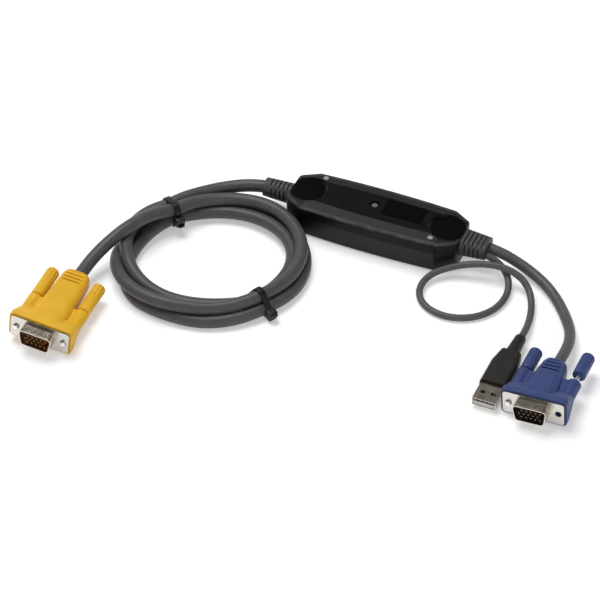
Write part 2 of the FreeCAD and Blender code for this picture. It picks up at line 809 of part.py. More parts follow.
def make_coil():
    coil = doc.addObject("Part::Torus", "main_cord_coil")
    coil.Label = "main_cord_coil"
    bind(coil, Radius1="coilRadius", Radius2="bundleRadius", Placement_Base_x="coilX",
         Placement_Base_y="coilY", Placement_Base_z="bundleRadius + tieGap + tieThickness")
    return coil


def make_tie(label, angle_name, head_name):
    # strap round the coil, drawn with Z along the cable; the head and the cut tail stand off the strap
    inner = "(bundleRadius + tieGap)"
    outer = f"({inner} + tieThickness)"
    hole = doc.addObject("Part::Cylinder", label + "_hole")
    bind(hole, Radius=inner, Height="2 * tieHeadWidth", Placement_Base_z="-tieHeadWidth")
    band = doc.addObject("Part::Cylinder", label + "_band")
    bind(band, Radius=outer, Height="tieWidth", Placement_Base_z="-tieWidth / 2")
    head = make_block(label + "_head", "tieHeadHeight + tieThickness", "tieHeadLength", "tieHeadWidth",
                      f"{inner} + (tieHeadHeight + tieThickness) / 2", "0", "-tieHeadWidth / 2")
    tail = make_block(label + "_tail", "tieTailLength", "tieThickness", "tieWidth",
                      f"{outer} + tieTailLength / 2", "tieHeadLength / 4", "-tieWidth / 2")
    solid = doc.addObject("Part::MultiFuse", label + "_solid")
    solid.Shapes = [band, head, tail]
    tie = doc.addObject("Part::Cut", label)
    tie.Label = label
    tie.Base = solid
    tie.Tool = hole
    angle = math.radians(size(angle_name))
    out = Vector(math.cos(angle), math.sin(angle), 0)
    along = Vector(-math.sin(angle), math.cos(angle), 0)
    facing = Rotation(out, Vector(0, 0, 1), along * -1, "ZXY")
    turned = facing * Rotation(Vector(0, 0, 1), size(head_name))
    place = Vector(size("coilX"), size("coilY"), coil_level) + out * size("coilRadius")
    tie.Placement = Placement(place, turned)
    return tie


# Plugs, drawn with X to the right, Y up and Z out of the mating face


def skirt_outline(sketch, inset):
    # D shape with rounded corners, wide at the top
    slant = "(skirtSlant * 1 deg)"
    radius = f"(skirtRound - ({inset}))"
    high = f"(skirtHeight / 2 - ({inset}))"
    top = f"(skirtWidth / 2 - ({inset}) * (1 / cos({slant}) + tan({slant})))"
    low = f"({top} - 2 * {high} * tan({slant}))"
    top_trim = f"({radius} / tan(45 deg - {slant} / 2))"
    low_trim = f"({radius} / tan(45 deg + {slant} / 2))"
    top_side = (f"({top} - {top_trim} * sin({slant}))", f"({high} - {top_trim} * cos({slant}))")
    low_side = (f"({low} + {low_trim} * sin({slant}))", f"(-{high} + {low_trim} * cos({slant}))")
    rounded_outline(sketch, [((f"-({low} - {low_trim})", f"-{high}"), (f"{low} - {low_trim}", f"-{high}")),
                             (low_side, top_side),
                             ((f"{top} - {top_trim}", high), (f"-({top} - {top_trim})", high)),
                             (("-" + top_side[0], top_side[1]), ("-" + low_side[0], low_side[1]))],
                    f"({high} - {radius})")


def plug_placement(plug):
    roll = size(plug + "Roll")
    turn = (Rotation(Vector(0, 0, 1), size(plug + "Yaw")) * Rotation(Vector(0, 1, 0), roll)
            * Rotation(Vector(1, 0, 0), 90))
    return Placement(Vector(size(plug + "X"), size(plug + "Y"), plug_height(roll)), turn)


sides = (("left", "-screwSpacing / 2", -1), ("right", "screwSpacing / 2", 1))


def make_plug_shell(plug):
    body = new_body(plug + "_shell")
    flange = new_sketch(body, "-flangeThickness")
    rounded_rectangle(flange, "flangeWidth", "flangeHeight", "flangeRound")
    pad(body, flange, "flangeThickness")
    skirt = new_sketch(body, "-flangeThickness")
    skirt_outline(skirt, "0")
    pad(body, skirt, "flangeThickness + skirtLength")
    opening = new_sketch(body, "skirtLength")
    skirt_outline(opening, "skirtWall")
    pocket(body, opening, "skirtLength + flangeThickness")
    holes = new_sketch(body, "0")
    for side, across, sign in sides:
        circle(holes, "flangeHoleRadius", across, "0")
    pocket(body, holes, "flangeThickness")
    for level, count in (("(skirtHeight / 2)", 4), ("(-skirtHeight / 2)", 3)):
        dimples = new_sketch(body, "skirtLength / 2 - dimpleLength / 2")
        for number in range(count):
            across = f"dimplePitch * {number - (count - 1) / 2}"
            rectangle(dimples, "dimpleWidth", "2 * dimpleHeight", across, level)
        pad(body, dimples, "dimpleLength")
    body.Placement = plug_placement(plug)
    return body


pin_places = [(f"pinPitch * {column + shift}", f"pinRowPitch * {row}")
              for row, shift in ((1, 0.25), (0, -0.25), (-1, 0.25)) for column in (-2, -1, 0, 1, 2)]


def make_insulator(plug):
    body = new_body(plug + "_insulator")
    outline = new_sketch(body, "-insulatorRear")
    skirt_outline(outline, "skirtWall + insulatorGap")
    pad(body, outline, "insulatorRear + insulatorFront")
    holes = new_sketch(body, "insulatorFront")
    for across, along in pin_places:
        circle(holes, "pinRadius + pinGap", across, along)
    pocket(body, holes, "insulatorRear + insulatorFront")
    body.Placement = plug_placement(plug)
    return body


def make_pins(plug):
    pins = []
    for number, (across, along) in enumerate(pin_places):
        pin = doc.addObject("Part::Cylinder", "%s_pin%d" % (plug, number))
        bind(pin, Radius="pinRadius", Height="pinFront + pinRear", Placement_Base_x=across,
             Placement_Base_y=along, Placement_Base_z="-pinRear")
        pins.append(pin)
    group = make_group(plug + "_pins", pins)
    group.Placement = plug_placement(plug)
    return group


def make_hood(plug):
    length, ear, tip = plug + "HoodLength", plug + "EarLength", plug + "TipWidth"
    body = new_body(plug + "_hood")
    bar = new_sketch(body, "-flangeThickness - barDepth")
    rounded_rectangle(bar, "hoodWidth", "hoodHeight", "hoodRound")
    pad(body, bar, "barDepth")
    # shoulders that slope from the bar to the thickness of the ears
    high = new_sketch(body, "-flangeThickness - barDepth")
    rounded_rectangle(high, "hoodWidth", "hoodHeight", "hoodRound")
    low = new_sketch(body, "-flangeThickness - barDepth - slopeDepth")
    rounded_rectangle(low, "screwSpacing + 2 * earRadius", "2 * earRadius", "slopeRound")
    loft(body, high, low)
    front = new_sketch(body, "-flangeThickness - barDepth / 2")
    rounded_rectangle(front, "bodyWidth", "bodyHeight", "bodyRound")
    dome = []
    for depth, inset in (("domeDepth", "0"), ("domeDepth / 3", "domeInset / 3"), ("0", "domeInset")):
        section = new_sketch(body, f"-{length} + {depth}")
        rounded_rectangle(section, f"{tip} - 2 * ({inset})", f"tipHeight - 2 * ({inset})", "bodyRound")
        dome.append(section)
    loft(body, front, *dome)
    ears = new_sketch(body, "-" + ear)
    for side, across, sign in sides:
        circle(ears, "earRadius", across, "0")
    pad(body, ears, f"{ear} - flangeThickness - barDepth / 2")
    web = new_sketch(body, f"-{ear} + webInset")
    rectangle(web, "screwSpacing", "webHeight")
    pad(body, web, f"{ear} - webInset - flangeThickness - barDepth")
    bores = new_sketch(body, "-" + ear)
    for side, across, sign in sides:
        circle(bores, "boreRadius", across, "0")
    pocket(body, bores, ear, towards_normal=True)
    threads = new_sketch(body, "-flangeThickness")
    for side, across, sign in sides:
        circle(threads, "threadPocketRadius", across, "0")
    pocket(body, threads, "threadPocketDepth")
    seat = new_sketch(body, "-flangeThickness")
    skirt_outline(seat, "skirtWall")
    pocket(body, seat, "pocketDepth")
    ribs = new_sketch(body, "0", "YZ_Plane")
    for side in ("", "-"):
        rectangle(ribs, "2 * slotDepth", "ribWidth", f"{side}(tipHeight / 2 + slotDepth / 2)",
                  f"-{length} + ribPitch")
    first = cut_both_ways(body, ribs, "bodyWidth")
    repeat_along(body, first, "ribPitch", 4)
    body.Placement = plug_placement(plug)
    return body


def screw_placement(plug, sign, back):
    along = Placement(Vector(sign * size("screwSpacing") / 2, 0, -back), Rotation())
    return plug_placement(plug) * along


def make_screw(plug, side, sign, back):
    # captive thumbscrew: thread in front, thinner shank through the hood into the knob
    body = new_body("%s_%s_screw" % (plug, side))
    profile = new_sketch(body, "0", "XZ_Plane")
    shoulder = "(threadReach - threadLength)"
    end = f"(-{plug}EarLength - knobStopGap - shankInKnob)"
    polygon(profile, [("0", "threadReach"), ("shankRadius", "threadReach"),
                      ("threadRadius", "threadReach - threadRadius + shankRadius"),
                      ("threadRadius", shoulder), ("shankRadius", shoulder), ("shankRadius", end),
                      ("0", end)])
    revolve(body, profile)
    body.Placement = screw_placement(plug, sign, back)
    return body


def make_knob(plug, side, sign, back):
    length, ear = plug + "KnobLength", plug + "EarLength"
    body = new_body("%s_%s_knob" % (plug, side))
    rear = f"(-{ear} - knobStopGap - {length})"
    outline = new_sketch(body, rear)
    circle(outline, "knobRadius")
    pad(body, outline, length)
    round_edges(body, lambda edge: edge.BoundBox.ZLength < 1e-4, "knobRound")
    bore = new_sketch(body, f"-{ear} - knobStopGap")
    circle(bore, "shankRadius + knobBoreGap")
    pocket(body, bore, "shankInKnob + knobStopGap")
    flute = new_sketch(body, rear)
    circle(flute, "fluteRadius", "knobRadius + fluteRadius - fluteDepth", "0")
    first = pocket(body, flute, "fluteLength", towards_normal=True)
    repeat_round(body, first, 10)
    body.Placement = screw_placement(plug, sign, back)
    return body


def make_plug(plug, screw_backs):
    nodes = [make_plug_shell(plug), make_insulator(plug), make_pins(plug), make_hood(plug)]
    for side, across, sign in sides:
        back = size(screw_backs[side])
        nodes.append(make_screw(plug, side, sign, back))
        nodes.append(make_knob(plug, side, sign, back))
    return nodes


# Plug of the thin lead, drawn like the others, with Z = 0 at the front of the overmould


def usb_placement():
    return Placement(Vector(size("usbX"), size("usbY"), size("usbHeight") / 2), Rotation(Vector(1, 0, 0), 90))


def make_usb_overmould():
    body = new_body("usb_overmould")
    grip_end = "(-usbGripLength)"
    shoulder_end = f"({grip_end} - usbShoulderLength)"
    neck_end = f"({shoulder_end} - usbNeckLength)"
    sections = []
    for level, width, height in (("0", "usbWidth", "usbHeight"), (grip_end, "usbWidth", "usbHeight"),
                                 (shoulder_end, "usbShoulderWidth", "usbShoulderHeight")):
        section = new_sketch(body, level)
        rounded_rectangle(section, width, height, "usbRound")
        sections.append(section)
    loft(body, *sections)
    root = new_sketch(body, f"{shoulder_end} + usbRound")
    circle(root, "usbNeckWidth / 2")
    tip = new_sketch(body, neck_end)
    circle(tip, "usbNeckTip / 2")
    loft(body, root, tip)
    seat = new_sketch(body, "0")
    rectangle(seat, "usbShellWidth + 2 * usbSeatGap", "usbShellHeight + 2 * usbSeatGap")
    pocket(body, seat, "usbShellSeat + usbSeatGap")
    ridges = new_sketch(body, "0", "XZ_Plane")
    for side in ("", "-"):
        rectangle(ridges, "slotDepth", "ribWidth", f"{side}usbWidth / 2", "-usbGripLength + ribPitch / 2")
    first = cut_both_ways(body, ridges, "2 * usbHeight")
    repeat_along(body, first, "ribPitch", 4)
    body.Placement = usb_placement()
    return body


def make_usb_shell():
    body = new_body("usb_shell")
    tube = new_sketch(body, "-usbShellSeat")
    rectangle(tube, "usbShellWidth", "usbShellHeight")
    rectangle(tube, "usbShellWidth - 2 * usbShellWall", "usbShellHeight - 2 * usbShellWall")
    pad(body, tube, "usbShellSeat + usbShellReach")
    windows = new_sketch(body, "0", "XZ_Plane")
    for side in ("", "-"):
        rectangle(windows, "usbWindowWidth", "usbWindowLength", side + "usbWindowX", "usbWindowZ")
    cut_both_ways(body, windows, "2 * usbShellHeight")
    body.Placement = usb_placement()
    return body


def make_usb_tongue():
    block = make_block("tongue_block", "usbShellWidth - 2 * usbShellWall", "usbTongueHeight",
                       "usbTongueReach + usbShellSeat", "0",
                       "-usbShellHeight / 2 + usbShellWall + usbTongueHeight / 2", "-usbShellSeat")
    tongue = make_group("usb_tongue", [block])
    tongue.Placement = usb_placement()
    return tongue


def make_usb_contacts():
    strips = []
    level = "-usbShellHeight / 2 + usbShellWall + usbTongueHeight + usbContactHeight / 2"
    for number in (-1.5, -0.5, 0.5, 1.5):
        strips.append(make_block("contact_strip", "usbContactWidth", "usbContactHeight", "usbContactLength",
                                 f"usbContactPitch * {number}", level,
                                 "usbTongueReach - usbContactLength - usbContactInset"))
    contacts = make_group("usb_contacts", strips)
    contacts.Placement = usb_placement()
    return contacts


console_screws = {"left": "consoleScrewBack", "right": "consoleScrewBack"}
video_screws = {"left": "videoLeftScrewBack", "right": "videoRightScrewBack"}

nodes = [
    make_lower_shell(),
    make_upper_shell(),
    make_shell_screws(),
    make_board(),
    make_block("controller_chip", "chipSize", "chipSize", "chipHeight", "chipX", "0", board_top),
    make_block("crystal_can", "crystalLength", "crystalWidth", "crystalHeight", "crystalX", "0", board_top),
    make_block("indicator_light", "lampSize", "lampSize", "lampHeight", "lensX", "lensY", board_top),
    make_lens(),
    make_block("main_header", "headerLength", "headerWidth", "headerHeight", "-headerX", "0", board_top),
    make_block("tail_header", "headerLength", "headerWidth", "headerHeight", "headerX", "0", board_top),
    make_wires("main_wires", -1, 0.8),
    make_wires("tail_wires", 1, 1.5),
    make_main_relief(),
    make_tail_relief(),
    make_cord("main_cord_module_run", module_route, size("cableRadius")),
    make_coil(),
    make_cord("main_cord_plug_run", plug_route, size("cableRadius")),
    make_tie("cable_tie_upper", "upperTieAngle", "upperTieHead"),
    make_tie("cable_tie_lower", "lowerTieAngle", "lowerTieHead"),
    make_cord("video_lead", video_route, size("videoLeadRadius")),
    make_cord("usb_lead", usb_route, size("usbLeadRadius")),
    make_usb_overmould(),
    make_usb_shell(),
    make_usb_tongue(),
    make_usb_contacts(),
] + make_plug("console", console_screws) + make_plug("video", video_screws)

doc.recompute()
os.makedirs("parts", exist_ok=True)
for node in nodes:
    if "Invalid" in node.State or "Error" in node.State or node.Shape.isNull() or not node.Shape.isValid():
        raise ValueError("%s did not build: %s" % (node.Label, node.State))
    box = node.Shape.BoundBox
    print("%-24s solids %2d  x %.1f..%.1f  y %.1f..%.1f  z %.2f..%.2f  volume %.0f" % (
        node.Label, len(node.Shape.Solids), box.XMin, box.XMax, box.YMin, box.YMax, box.ZMin, box.ZMax,
        node.Shape.Volume))
    node.Shape.exportStep("parts/%s.step" % node.Label)
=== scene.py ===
import math
import bpy
import numpy as np
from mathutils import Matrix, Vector


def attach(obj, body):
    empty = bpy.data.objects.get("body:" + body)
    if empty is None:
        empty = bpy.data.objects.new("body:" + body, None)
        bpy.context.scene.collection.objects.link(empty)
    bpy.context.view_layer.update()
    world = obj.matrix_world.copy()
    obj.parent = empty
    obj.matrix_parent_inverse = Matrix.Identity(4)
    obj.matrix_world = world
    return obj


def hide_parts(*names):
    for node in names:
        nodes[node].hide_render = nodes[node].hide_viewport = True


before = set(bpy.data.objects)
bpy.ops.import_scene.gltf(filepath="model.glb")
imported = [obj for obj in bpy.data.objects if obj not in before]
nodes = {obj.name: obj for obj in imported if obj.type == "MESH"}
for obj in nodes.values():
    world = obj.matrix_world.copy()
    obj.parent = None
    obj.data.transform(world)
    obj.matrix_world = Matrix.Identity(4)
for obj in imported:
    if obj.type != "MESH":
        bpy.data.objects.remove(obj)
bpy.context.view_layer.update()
mm = 0.001
fullTurn = 2 * np.pi
wholeCable = "cable"  # the body that carries everything but the thumbscrews


# Shader sockets that can be added and multiplied like numbers
class Level:
    def __init__(self, owner, socket):
        self.owner = owner
        self.socket = socket

    def joined(self, operation, first, second):
        return self.owner.node("ShaderNodeMath", {"operation": operation}, {0: first, 1: second})

    def __add__(self, other):
        return self.joined("ADD", self, other)

    def __radd__(self, other):
        return self.joined("ADD", other, self)

    def __sub__(self, other):
        return self.joined("SUBTRACT", self, other)

    def __rsub__(self, other):
        return self.joined("SUBTRACT", other, self)

    def __mul__(self, other):
        return self.joined("MULTIPLY", self, other)

    def __rmul__(self, other):
        return self.joined("MULTIPLY", other, self)

    def __abs__(self):
        return self.owner.node("ShaderNodeMath", {"operation": "ABSOLUTE"}, {0: self})


class NodeTree:
    def __init__(self, tree):
        self.tree = tree

    def feed(self, socket, value):
        if isinstance(value, Level):
            self.tree.links.new(value.socket, socket)
        else:
            socket.default_value = value

    # any node: its settings first, then the values or links of its sockets
    def node(self, kind, settings=None, inputs=None, output=0):
        made = self.tree.nodes.new(kind)
        for name, value in (settings or {}).items():
            setattr(made, name, value)
        for name, value in (inputs or {}).items():
            self.feed(made.inputs[name], value)
        return Level(self, made.outputs[output])

    def part(self, vector, axis):
        return self.node("ShaderNodeSeparateXYZ", None, {"Vector": vector}, output=axis)


class Finish(NodeTree):
    def __init__(self, name):
        self.material = bpy.data.materials.new(name)
        self.material.use_nodes = True
        super().__init__(self.material.node_tree)
        self.shader = self.tree.nodes["Principled BSDF"]
        self.place = self.node("ShaderNodeTexCoord", output="Object")

    # soft random spots, about size metres across, from 0 to 1
    def spots(self, size, detail=2.0, place=None):
        return self.node("ShaderNodeTexNoise", None,
                         {"Vector": place or self.place, "Scale": 1.0 / size, "Detail": detail})

    def stretched(self, scale):
        return self.node("ShaderNodeMapping", None, {"Vector": self.place, "Scale": scale})

    def ramp(self, level, low, high):
        return self.node("ShaderNodeMapRange", None,
                         {"Value": level, "From Min": low, "From Max": high})

    def blend(self, share, first, second):
        return self.node("ShaderNodeMix", {"data_type": "RGBA"},
                         {0: share, 6: first, 7: second}, output=2)

    # one colour, darker and paler by a share where the pattern is low and high
    def shaded(self, pattern, colour, sway):
        return self.blend(pattern, tint(colour, 1 - sway), tint(colour, 1 + sway))

    def relief(self, height, depth, strength=1.0):
        return self.node("ShaderNodeBump", None,
                         {"Height": height, "Distance": depth, "Strength": strength})

    def surface(self, sockets):
        for name, value in sockets.items():
            self.feed(self.shader.inputs[name], value)
        return self.material


def tint(colour, factor):
    return tuple(min(1.0, channel * factor) for channel in colour) + (1.0,)


# A pattern's swing about its middle
def swing(pattern, amount):
    return (pattern - 0.5) * amount


plasticSettings = {
    "cloudSize": 0.012,
    "cloudEdges": (0.32, 0.68),
    "markSize": 0.0054,
    "markGloss": 0.22,
}


def flowClouds(finish):
    return finish.ramp(finish.spots(plasticSettings["cloudSize"], 3.0),
                       *plasticSettings["cloudEdges"])


def handlingMarks(finish):
    return finish.spots(plasticSettings["markSize"], 4.0)


# Moulded plastic: a mould grain in the surface, faint flow clouds in the colour,
# handling marks in the gloss
def mouldedPlastic(name, colour, rough, grain, depth, sway, gloss):
    finish = Finish(name)
    return finish.surface({
        "Base Color": finish.shaded(flowClouds(finish), colour, sway),
        "Roughness": rough + swing(handlingMarks(finish), plasticSettings["markGloss"]),
        "Normal": finish.relief(finish.spots(grain, 1.0), depth),
        "Specular IOR Level": gloss})


topSettings = {
    # a little darker than the lower shell's colour: painted shade that keeps the flat top dark
    "colour": (0.004, 0.004, 0.0043),
    "sway": 0.15,
    "rough": 0.33,
    "markGloss": 0.16,
    "grain": 0.0004,
    "depth": 0.000012,
    "gloss": 0.13,
    "scoopAt": 0.038,
    "scoopRadius": 0.01,
    "polishAndShadeFrom": 1.02,  # in scoop radii
    "polishAndShadeFull": 0.9,
    # painted shade: the share of the top's colour left in the scoops
    "scoopShadeTint": 0.3,
    "polishGloss": 0.09,
    "ridgeAt": 0.01705,
    "ridgeEdges": (0.0005, 0.0002),
    # painted highlight: where the pale band along the ridge shows in patches, and how much paler
    # it is
    "ridgeHighlightEdges": (0.2, 0.6),
    "ridgeHighlightTint": 14.0,
}


# The module's top: as the rest of its moulding, but smoother and darkened with painted shade in
# the two round scoops at its ends, and with a painted highlight in pale patches along the ridge
# where the shoulders meet the sides
def scoopedPlastic(name):
    settings = topSettings
    finish = Finish(name)
    lengthwise, sideways, height = [finish.part(finish.place, axis) for axis in "XYZ"]
    fromScoop = abs(lengthwise) - settings["scoopAt"]
    polishAndShade = finish.ramp(fromScoop * fromScoop + sideways * sideways,
                         (settings["polishAndShadeFrom"] * settings["scoopRadius"]) ** 2,
                         (settings["polishAndShadeFull"] * settings["scoopRadius"]) ** 2)
    ridge = finish.ramp(abs(height - settings["ridgeAt"]), *settings["ridgeEdges"])
    marks = handlingMarks(finish)
    # painted highlight: a pale band at the ridge's height, in patches where the handling marks are
    # high, kept out of the scoops
    ridgeHighlight = ridge * finish.ramp(marks, *settings["ridgeHighlightEdges"]) * (1 - polishAndShade)
    mould = finish.shaded(flowClouds(finish), settings["colour"], settings["sway"])
    # painted shade: the base colour darkened in the two scoops
    dark = finish.blend(polishAndShade, mould, tint(settings["colour"], settings["scoopShadeTint"]))
    gloss = swing(marks, settings["markGloss"]) - polishAndShade * settings["polishGloss"]
    return finish.surface({
        "Base Color": finish.blend(ridgeHighlight, dark, tint(settings["colour"], settings["ridgeHighlightTint"])),
        "Roughness": settings["rough"] + gloss,
        "Normal": finish.relief(finish.spots(settings["grain"], 1.0), settings["depth"]),
        "Specular IOR Level": settings["gloss"]})


jacketSettings = {
    "scuffSize": 0.004,
    "scuffEdges": (0.45, 0.75),
    "scuffShare": 0.55,
    "scuffGloss": 0.08,
    "cloudSize": 0.02,
    "cloudShare": 0.3,
    "cloudGloss": 0.12,
    "darkTint": 0.9,
    "paleTint": 1.22,
}


# Extruded jacket: matt vinyl with fine scuffs and a slight orange-peel
def cableJacket(name, colour, rough, peel, depth, gloss):
    settings = jacketSettings
    finish = Finish(name)
    scuffs = finish.ramp(finish.spots(settings["scuffSize"], 5.0), *settings["scuffEdges"])
    clouds = finish.spots(settings["cloudSize"])
    paler = scuffs * settings["scuffShare"] + clouds * settings["cloudShare"]
    return finish.surface({
        "Base Color": finish.blend(paler, tint(colour, settings["darkTint"]),
                                   tint(colour, settings["paleTint"])),
        "Roughness": (rough + swing(clouds, settings["cloudGloss"])
                      + scuffs * settings["scuffGloss"]),
        "Normal": finish.relief(finish.spots(peel), depth),
        "Specular IOR Level": gloss})


metalSettings = {
    "lineSize": 0.0006,
    "lineDepth": 0.00001,
    "lineStrength": 0.5,
    "lineGloss": 0.1,
    "cloudSize": 0.004,
    "cloudGloss": 0.14,
    "darkTint": 0.9,
    "paleTint": 1.06,
    "frontEdges": (0.5, 0.9),  # how far a face turns along the plug, from its side to its front
    # painted reflection: size, edges and sway of the mottled patches on a shell's sides
    "reflectionPatchSize": 0.0045,
    "reflectionPatchEdges": (0.35, 0.65),
    "reflectionPatchSway": 0.22,
}


# Plated or bare metal: fine rolling lines and cloudy gloss; on a plug's shell a painted
# reflection: the plated colour where a face turns along the plug, a darker brownish colour with
# mottled patches on its sides
def bareMetal(name, colour, rough, lines, sideReflectionColour=None):
    settings = metalSettings
    finish = Finish(name)
    rolled = finish.spots(settings["lineSize"], 2.0, finish.stretched(lines))
    clouds = finish.spots(settings["cloudSize"], 3.0)
    platingAndReflection = finish.blend(clouds, tint(colour, settings["darkTint"]),
                           tint(colour, settings["paleTint"]))
    # painted reflection: sides take a darker brownish colour with mottled patches, faces along the
    # plug keep the plated colour
    if sideReflectionColour:
        normal = finish.node("ShaderNodeTexCoord", output="Normal")
        front = finish.ramp(abs(finish.part(normal, "Y")), *settings["frontEdges"])
        mottledReflection = finish.ramp(finish.spots(settings["reflectionPatchSize"], 1.0), *settings["reflectionPatchEdges"])
        side = finish.shaded(mottledReflection, sideReflectionColour, settings["reflectionPatchSway"])
        platingAndReflection = finish.blend(front, side, platingAndReflection)
    return finish.surface({
        "Base Color": platingAndReflection,
        "Metallic": 1.0,
        "Roughness": (rough + swing(clouds, settings["cloudGloss"])
                      + swing(rolled, settings["lineGloss"])),
        "Normal": finish.relief(rolled, settings["lineDepth"], settings["lineStrength"])})


lensSettings = {
    "colour": (0.16, 0.165, 0.17),
    "hazeSize": 0.0015,
    "hazeTint": 0.9,
    "hazeGloss": 0.1,
    "rough": 0.14,
    "coat": 0.6,
}


def clearPlastic(name):
    settings = lensSettings
    finish = Finish(name)
    haze = finish.spots(settings["hazeSize"])
    return finish.surface({
        "Base Color": finish.blend(haze, tint(settings["colour"], settings["hazeTint"]),
                                   tint(settings["colour"], 1.0)),
        "Roughness": settings["rough"] + haze * settings["hazeGloss"],
        "Coat Weight": settings["coat"]})


# name, colour, roughness, size and depth of the grain, sway of the colour, gloss
plastics = {
    "housing": ("satin_black_housing", (0.0055, 0.0055, 0.006), 0.36, 0.0004, 0.000012, 0.1, 0.25),
    "inlay": ("blank_label_inlay", (0.0022, 0.0022, 0.0026), 0.16, 0.0012, 0.000003, 0.1, 0.12),
    "relief": ("strain_relief_vinyl", (0.06, 0.06, 0.063), 0.5, 0.0005, 0.00002, 0.1, 0.3),
    "tie": ("black_nylon_tie", (0.0075, 0.0075, 0.008), 0.38, 0.0004, 0.000008, 0.1, 0.3),
    "hood_yellow": ("yellow_hood_vinyl", (0.83, 0.47, 0.022), 0.45, 0.0006, 0.00002, 0.06, 0.25),
    "hood_blue": ("blue_hood_vinyl", (0.0445, 0.07, 0.208), 0.45, 0.0006, 0.00002, 0.07, 0.25),
    "knob_yellow": ("yellow_knob_plastic", (0.84, 0.48, 0.024), 0.4, 0.0005, 0.000012, 0.05, 0.3),
    "knob_blue": ("blue_knob_plastic", (0.046, 0.072, 0.22), 0.4, 0.0005, 0.000012, 0.06, 0.3),
    "insulator_brown": ("brown_insulator", (0.56, 0.21, 0.065), 0.45, 0.0004, 0.00001, 0.1, 0.3),
    "insulator_black": ("black_insulator", (0.06, 0.046, 0.085), 0.42, 0.0004, 0.00001, 0.1, 0.3),
    "usb_black": ("dark_overmould_vinyl", (0.017, 0.0135, 0.0125), 0.42, 0.0005, 0.000016, 0.1,
                  0.3),
    "usb_white": ("white_tongue", (0.72, 0.71, 0.68), 0.4, 0.0004, 0.000008, 0.03, 0.5),
    "board": ("solder_mask", (0.02, 0.16, 0.06), 0.3, 0.0005, 0.000005, 0.1, 0.5),
    "chip": ("chip_epoxy", (0.014, 0.014, 0.014), 0.5, 0.0003, 0.000008, 0.1, 0.5),
    "header": ("header_nylon", (0.7, 0.68, 0.6), 0.45, 0.0004, 0.000008, 0.03, 0.5),
}
# name, colour, roughness, size and depth of the orange-peel, gloss
jackets = {
    "cable": ("grey_cable_jacket", (0.077, 0.076, 0.083), 0.42, 0.0009, 0.00002, 0.36),
    "thin_lead": ("pale_grey_lead_jacket", (0.098, 0.096, 0.097), 0.42, 0.0007, 0.000014, 0.36),
    "wire": ("wire_jacket", (0.4, 0.06, 0.05), 0.4, 0.0005, 0.000006, 0.5),
}
# name, colour, roughness, scale of the rolling lines, painted reflection colour of the sides
metals = {
    # the last colour is a painted reflection for the shell's sides
    "nickel": ("nickel_plated_shell", (0.7, 0.675, 0.63), 0.26, (0.25, 1.0, 1.0),
               (0.43, 0.385, 0.315)),
    "steel": ("turned_steel", (0.88, 0.88, 0.87), 0.3, (1.0, 0.2, 1.0)),
    # a gold darkened far below bright gold: painted shade for contacts sunk in their insulators
    # and shells
    "gold": ("gold_flashed_contact", (0.19, 0.125, 0.06), 0.42, (1.0, 0.3, 1.0)),
    "can": ("crystal_can_metal", (0.75, 0.75, 0.76), 0.3, (0.3, 1.0, 1.0)),
}
finishes = {"housing_top": scoopedPlastic("satin_black_top"),
            "lens": clearPlastic("indicator_lens_clear")}
for makeFinish, table in ((mouldedPlastic, plastics), (cableJacket, jackets), (bareMetal, metals)):
    finishes.update({name: makeFinish(*values) for name, values in table.items()})
print("finishes:", len(finishes))

nodeFinish = {
    "lower_shell": "housing", "upper_shell": "housing_top", "shell_screws": "steel",
    "circuit_board": "board", "controller_chip": "chip", "crystal_can": "can",
    "indicator_light": "lens", "indicator_lens": "lens",
    "main_header": "header", "tail_header": "header", "main_wires": "wire", "tail_wires": "wire",
    "main_strain_relief": "relief", "tail_strain_relief": "relief",
    "usb_overmould": "usb_black", "usb_shell": "nickel", "usb_tongue": "usb_white",
    "usb_contacts": "gold",
}
for plug, colour, insulator in (("console", "yellow", "brown"), ("video", "blue", "black")):
    nodeFinish[plug + "_shell"] = "nickel"
    nodeFinish[plug + "_insulator"] = "insulator_" + insulator
    nodeFinish[plug + "_pins"] = "gold"
    nodeFinish[plug + "_hood"] = "hood_" + colour
    for side in ("left", "right"):
        nodeFinish[f"{plug}_{side}_screw"] = "steel"
        nodeFinish[f"{plug}_{side}_knob"] = "knob_" + colour
for name, finish in nodeFinish.items():
    mesh = nodes[name].data
    mesh.materials.clear()
    mesh.materials.append(finishes[finish])
print("finished CAD pieces:", len(nodeFinish))


def newObject(name, data):
    made = bpy.data.objects.new(name, data)
    bpy.context.scene.collection.objects.link(made)
    return made


# A round cord on a smooth line through its route's points, given in millimetres
def makeCord(name, points, diameter, finish, replaced):
    curve = bpy.data.curves.new(name, "CURVE")
    curve.dimensions = "3D"
    spline = curve.splines.new("NURBS")
    spline.points.add(len(points) - 1)
    flat = np.concatenate([np.asarray(points, float) * mm, np.ones((len(points), 1))], axis=1)
    spline.points.foreach_set("co", flat.ravel())
    spline.order_u = 3
    spline.use_endpoint_u = True
    spline.use_smooth = True
    curve.resolution_u = 6
    curve.bevel_depth = diameter * mm / 2
    curve.bevel_resolution = 6
    curve.use_fill_caps = True
    curve.materials.append(finishes[finish])
    cord = newObject(name, curve)
    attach(cord, wholeCable)
    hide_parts(*replaced)
    return cord


